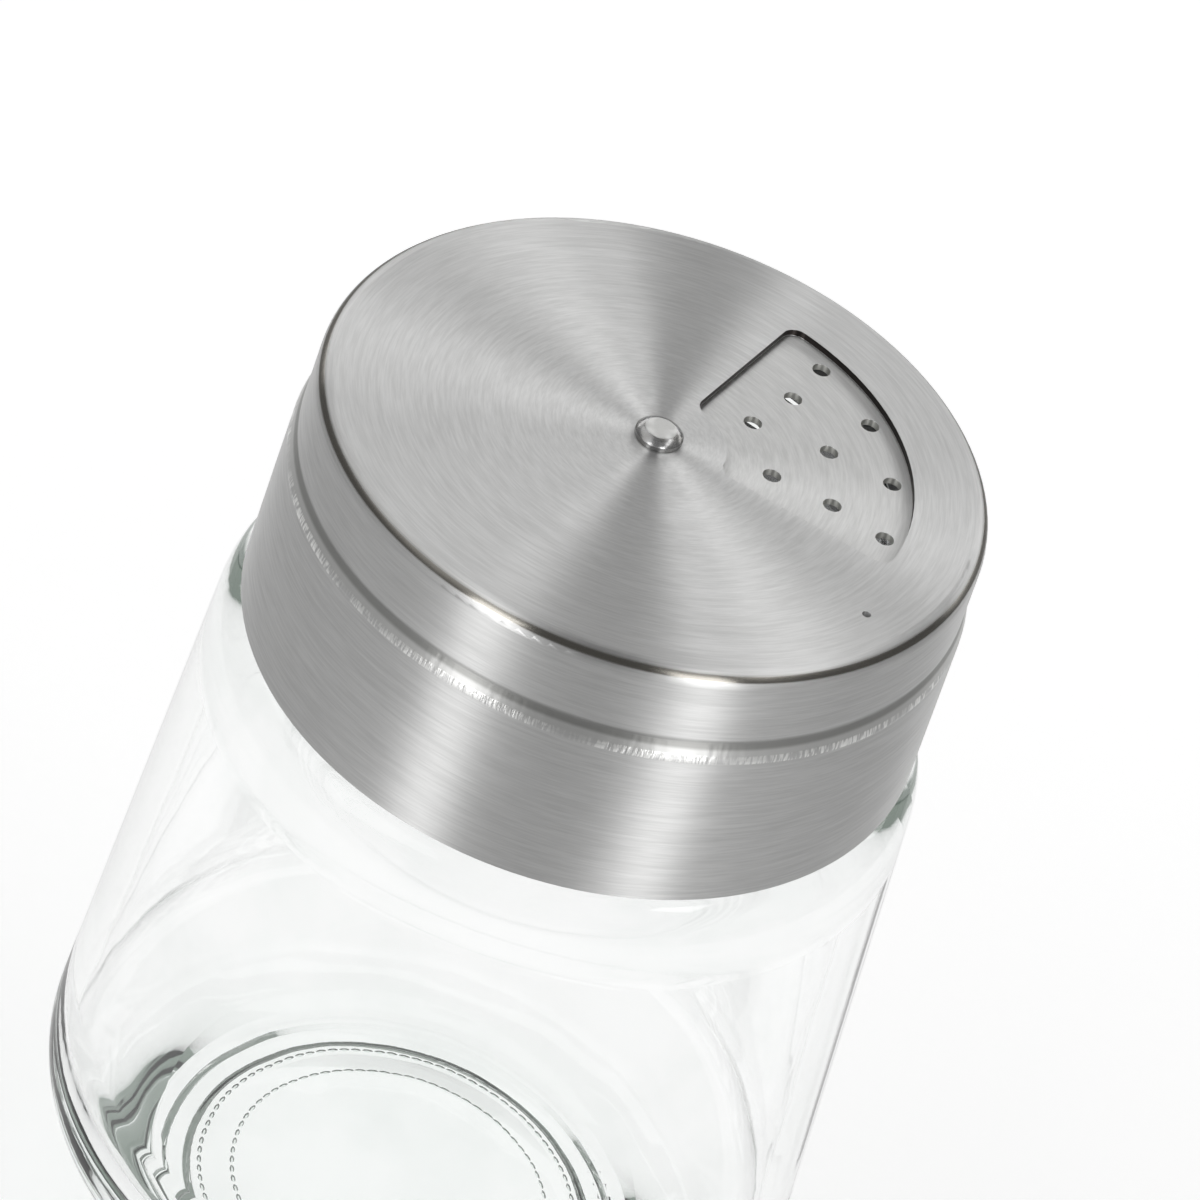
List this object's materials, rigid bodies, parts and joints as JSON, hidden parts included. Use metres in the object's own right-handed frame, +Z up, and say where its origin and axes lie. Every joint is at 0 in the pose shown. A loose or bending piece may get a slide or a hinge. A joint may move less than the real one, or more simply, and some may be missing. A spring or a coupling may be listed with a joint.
{
  "type": "spice jar",
  "caption": "Glass spice jar with a steel shaker lid: the lid's shell turns to close, sprinkle or pour, and the lid unscrews from a threaded neck.",
  "frame": {"origin": "centre of the base, on the plane that the jar stands on", "axes": "+Z up along the jar's axis; the picture looks along +Y, with the sprinkle window towards +X"},
  "size_m": [0.0528, 0.0528, 0.0747],
  "materials": {
    "glass": "clear soda-lime glass, faintly green at thick edges",
    "shell_steel": "stainless, circular brushing on the top and round the bands",
    "plate_steel": "stainless, faint circular brushing",
    "polished_steel": "polished stainless",
    "insert_plastic": "black polypropylene, satin moulded",
    "seal": "translucent white elastomer"
  },
  "bodies": {
    "jar": {"glass_jar": "glass"},
    "seal": {"seal_ring": "seal"},
    "lid_base": {"thread_insert": "insert_plastic", "sieve_plate": "plate_steel", "rivet": "polished_steel", "rivet_washer": "polished_steel"},
    "lid_cap": {"lid_shell": "shell_steel"}
  },
  "joints": [
    {"name": "lid_lift", "type": "slide", "parent": "jar", "child": "seal", "axis": [0, 0, 1], "range_m": [0, 0.0158]},
    {"name": "lid_unscrew", "type": "hinge", "parent": "seal", "child": "lid_base", "pos_m": [0, 0, 0.0703], "axis": [0, 0, 1], "range_deg": [0, 1620]},
    {"name": "cap_turn", "type": "hinge", "parent": "lid_base", "child": "lid_cap", "pos_m": [0, 0, 0.0735], "axis": [0, 0, 1], "range_deg": [-120, 120]}
  ],
  "couplings": [
    {"joint": "lid_lift", "follows": "lid_unscrew", "m_per_rad": 0.00055704}
  ]
}
